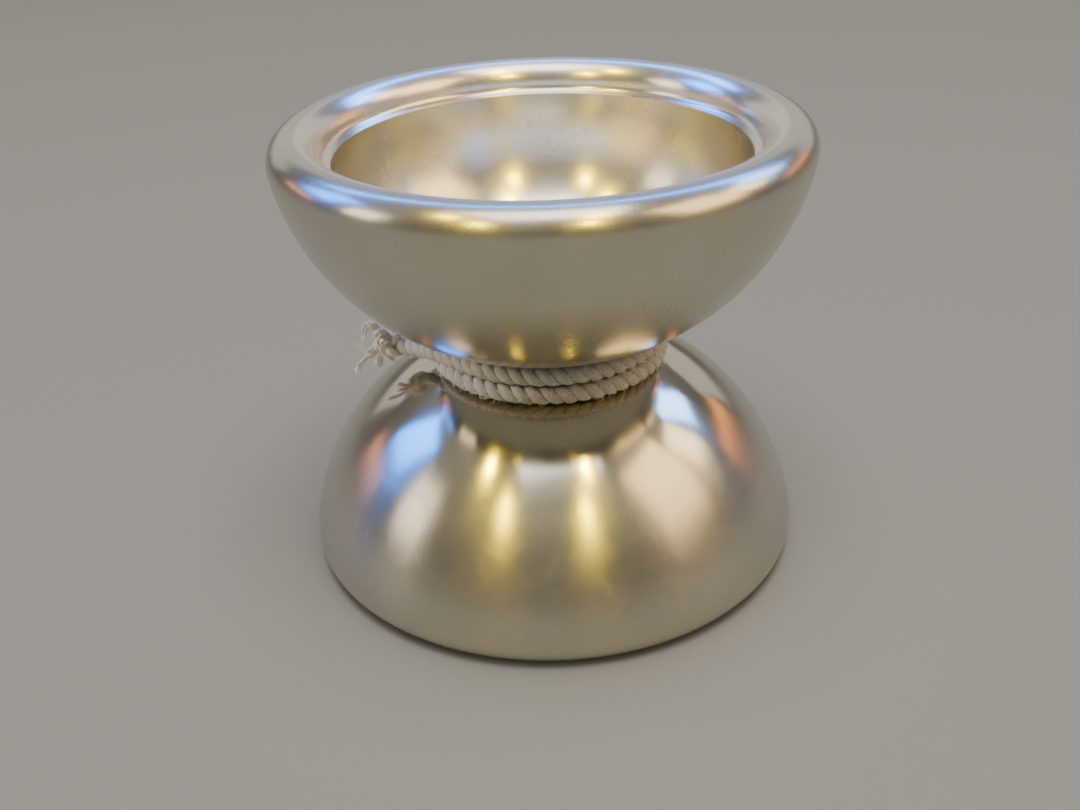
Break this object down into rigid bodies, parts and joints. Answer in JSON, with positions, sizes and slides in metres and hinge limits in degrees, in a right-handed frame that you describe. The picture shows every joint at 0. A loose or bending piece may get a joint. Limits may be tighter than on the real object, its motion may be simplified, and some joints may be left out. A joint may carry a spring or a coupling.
{
  "type": "yo-yo",
  "caption": "Turned aluminium yo-yo with two rounded cup halves, a central ball bearing, a threaded axle and cotton string wound in the gap.",
  "frame": {"origin": "centre of the circle on which the lower rim stands, on the spin axis", "axes": "+Z along the spin axis, from the lower half to the upper half; the string's free end lies on the -X side"},
  "size_m": [0.055, 0.055, 0.048],
  "materials": {
    "bead_blasted_aluminium": "bead blasted satin",
    "silicone_pad": "cast silicone",
    "stainless_screw": "rolled thread",
    "bearing_steel": "ground",
    "ball_steel": "polished",
    "cage_steel": "stamped",
    "shield_steel": "stamped",
    "snap_ring_steel": "spring wire",
    "cotton_string": "twisted cotton"
  },
  "bodies": {
    "lower_half": {"lower_half": "bead_blasted_aluminium", "response_pad_lower": "silicone_pad", "bearing_inner_race": "bearing_steel"},
    "bearing_outer": {"bearing_outer_race": "bearing_steel", "bearing_shield_lower": "shield_steel", "bearing_shield_upper": "shield_steel", "bearing_snap_ring_lower": "snap_ring_steel", "bearing_snap_ring_upper": "snap_ring_steel", "string_winding": "cotton_string", "string_tail": "cotton_string", "string_knot": "cotton_string", "string_frayed_end": "cotton_string"},
    "bearing_cage": {"bearing_cage": "cage_steel"},
    "axle": {"axle_set_screw": "stainless_screw"},
    "upper_half": {"upper_half": "bead_blasted_aluminium", "response_pad_upper": "silicone_pad"},
    "ball_01": {"bearing_ball_01": "ball_steel"},
    "ball_02": {"bearing_ball_02": "ball_steel"},
    "ball_03": {"bearing_ball_03": "ball_steel"},
    "ball_04": {"bearing_ball_04": "ball_steel"},
    "ball_05": {"bearing_ball_05": "ball_steel"},
    "ball_06": {"bearing_ball_06": "ball_steel"},
    "ball_07": {"bearing_ball_07": "ball_steel"},
    "ball_08": {"bearing_ball_08": "ball_steel"},
    "ball_09": {"bearing_ball_09": "ball_steel"},
    "ball_10": {"bearing_ball_10": "ball_steel"}
  },
  "joints": [
    {"name": "string_spin", "type": "hinge", "parent": "lower_half", "child": "bearing_outer", "pos_m": [0, 0, 0.024], "axis": [0, 0, 1], "continuous": true},
    {"name": "cage_spin", "type": "hinge", "parent": "lower_half", "child": "bearing_cage", "pos_m": [0, 0, 0.024], "axis": [0, 0, 1], "continuous": true},
    {"name": "ball_01_roll", "type": "hinge", "parent": "bearing_cage", "child": "ball_01", "pos_m": [0.00476, 0, 0.024], "axis": [0, 0, 1], "continuous": true},
    {"name": "ball_02_roll", "type": "hinge", "parent": "bearing_cage", "child": "ball_02", "pos_m": [0.00385, 0.0028, 0.024], "axis": [0, 0, 1], "continuous": true},
    {"name": "ball_03_roll", "type": "hinge", "parent": "bearing_cage", "child": "ball_03", "pos_m": [0.00147, 0.00453, 0.024], "axis": [0, 0, 1], "continuous": true},
    {"name": "ball_04_roll", "type": "hinge", "parent": "bearing_cage", "child": "ball_04", "pos_m": [-0.00147, 0.00453, 0.024], "axis": [0, 0, 1], "continuous": true},
    {"name": "ball_05_roll", "type": "hinge", "parent": "bearing_cage", "child": "ball_05", "pos_m": [-0.00385, 0.0028, 0.024], "axis": [0, 0, 1], "continuous": true},
    {"name": "ball_06_roll", "type": "hinge", "parent": "bearing_cage", "child": "ball_06", "pos_m": [-0.00476, 0, 0.024], "axis": [0, 0, 1], "continuous": true},
    {"name": "ball_07_roll", "type": "hinge", "parent": "bearing_cage", "child": "ball_07", "pos_m": [-0.00385, -0.0028, 0.024], "axis": [0, 0, 1], "continuous": true},
    {"name": "ball_08_roll", "type": "hinge", "parent": "bearing_cage", "child": "ball_08", "pos_m": [-0.00147, -0.00453, 0.024], "axis": [0, 0, 1], "continuous": true},
    {"name": "ball_09_roll", "type": "hinge", "parent": "bearing_cage", "child": "ball_09", "pos_m": [0.00147, -0.00453, 0.024], "axis": [0, 0, 1], "continuous": true},
    {"name": "ball_10_roll", "type": "hinge", "parent": "bearing_cage", "child": "ball_10", "pos_m": [0.00385, -0.0028, 0.024], "axis": [0, 0, 1], "continuous": true},
    {"name": "unscrew_turn", "type": "hinge", "parent": "lower_half", "child": "axle", "pos_m": [0, 0, 0.024], "axis": [0, 0, 1], "range_deg": [0, 2880]},
    {"name": "unscrew_lift", "type": "slide", "parent": "axle", "child": "upper_half", "axis": [0, 0, 1], "range_m": [0, 0.0056]}
  ],
  "couplings": [
    {"joint": "cage_spin", "follows": "string_spin", "ratio": 0.58336},
    {"joint": "ball_01_roll", "follows": "string_spin", "ratio": 2.9157},
    {"joint": "ball_02_roll", "follows": "string_spin", "ratio": 2.9157},
    {"joint": "ball_03_roll", "follows": "string_spin", "ratio": 2.9157},
    {"joint": "ball_04_roll", "follows": "string_spin", "ratio": 2.9157},
    {"joint": "ball_05_roll", "follows": "string_spin", "ratio": 2.9157},
    {"joint": "ball_06_roll", "follows": "string_spin", "ratio": 2.9157},
    {"joint": "ball_07_roll", "follows": "string_spin", "ratio": 2.9157},
    {"joint": "ball_08_roll", "follows": "string_spin", "ratio": 2.9157},
    {"joint": "ball_09_roll", "follows": "string_spin", "ratio": 2.9157},
    {"joint": "ball_10_roll", "follows": "string_spin", "ratio": 2.9157},
    {"joint": "unscrew_lift", "follows": "unscrew_turn", "m_per_rad": 0.00011141}
  ]
}
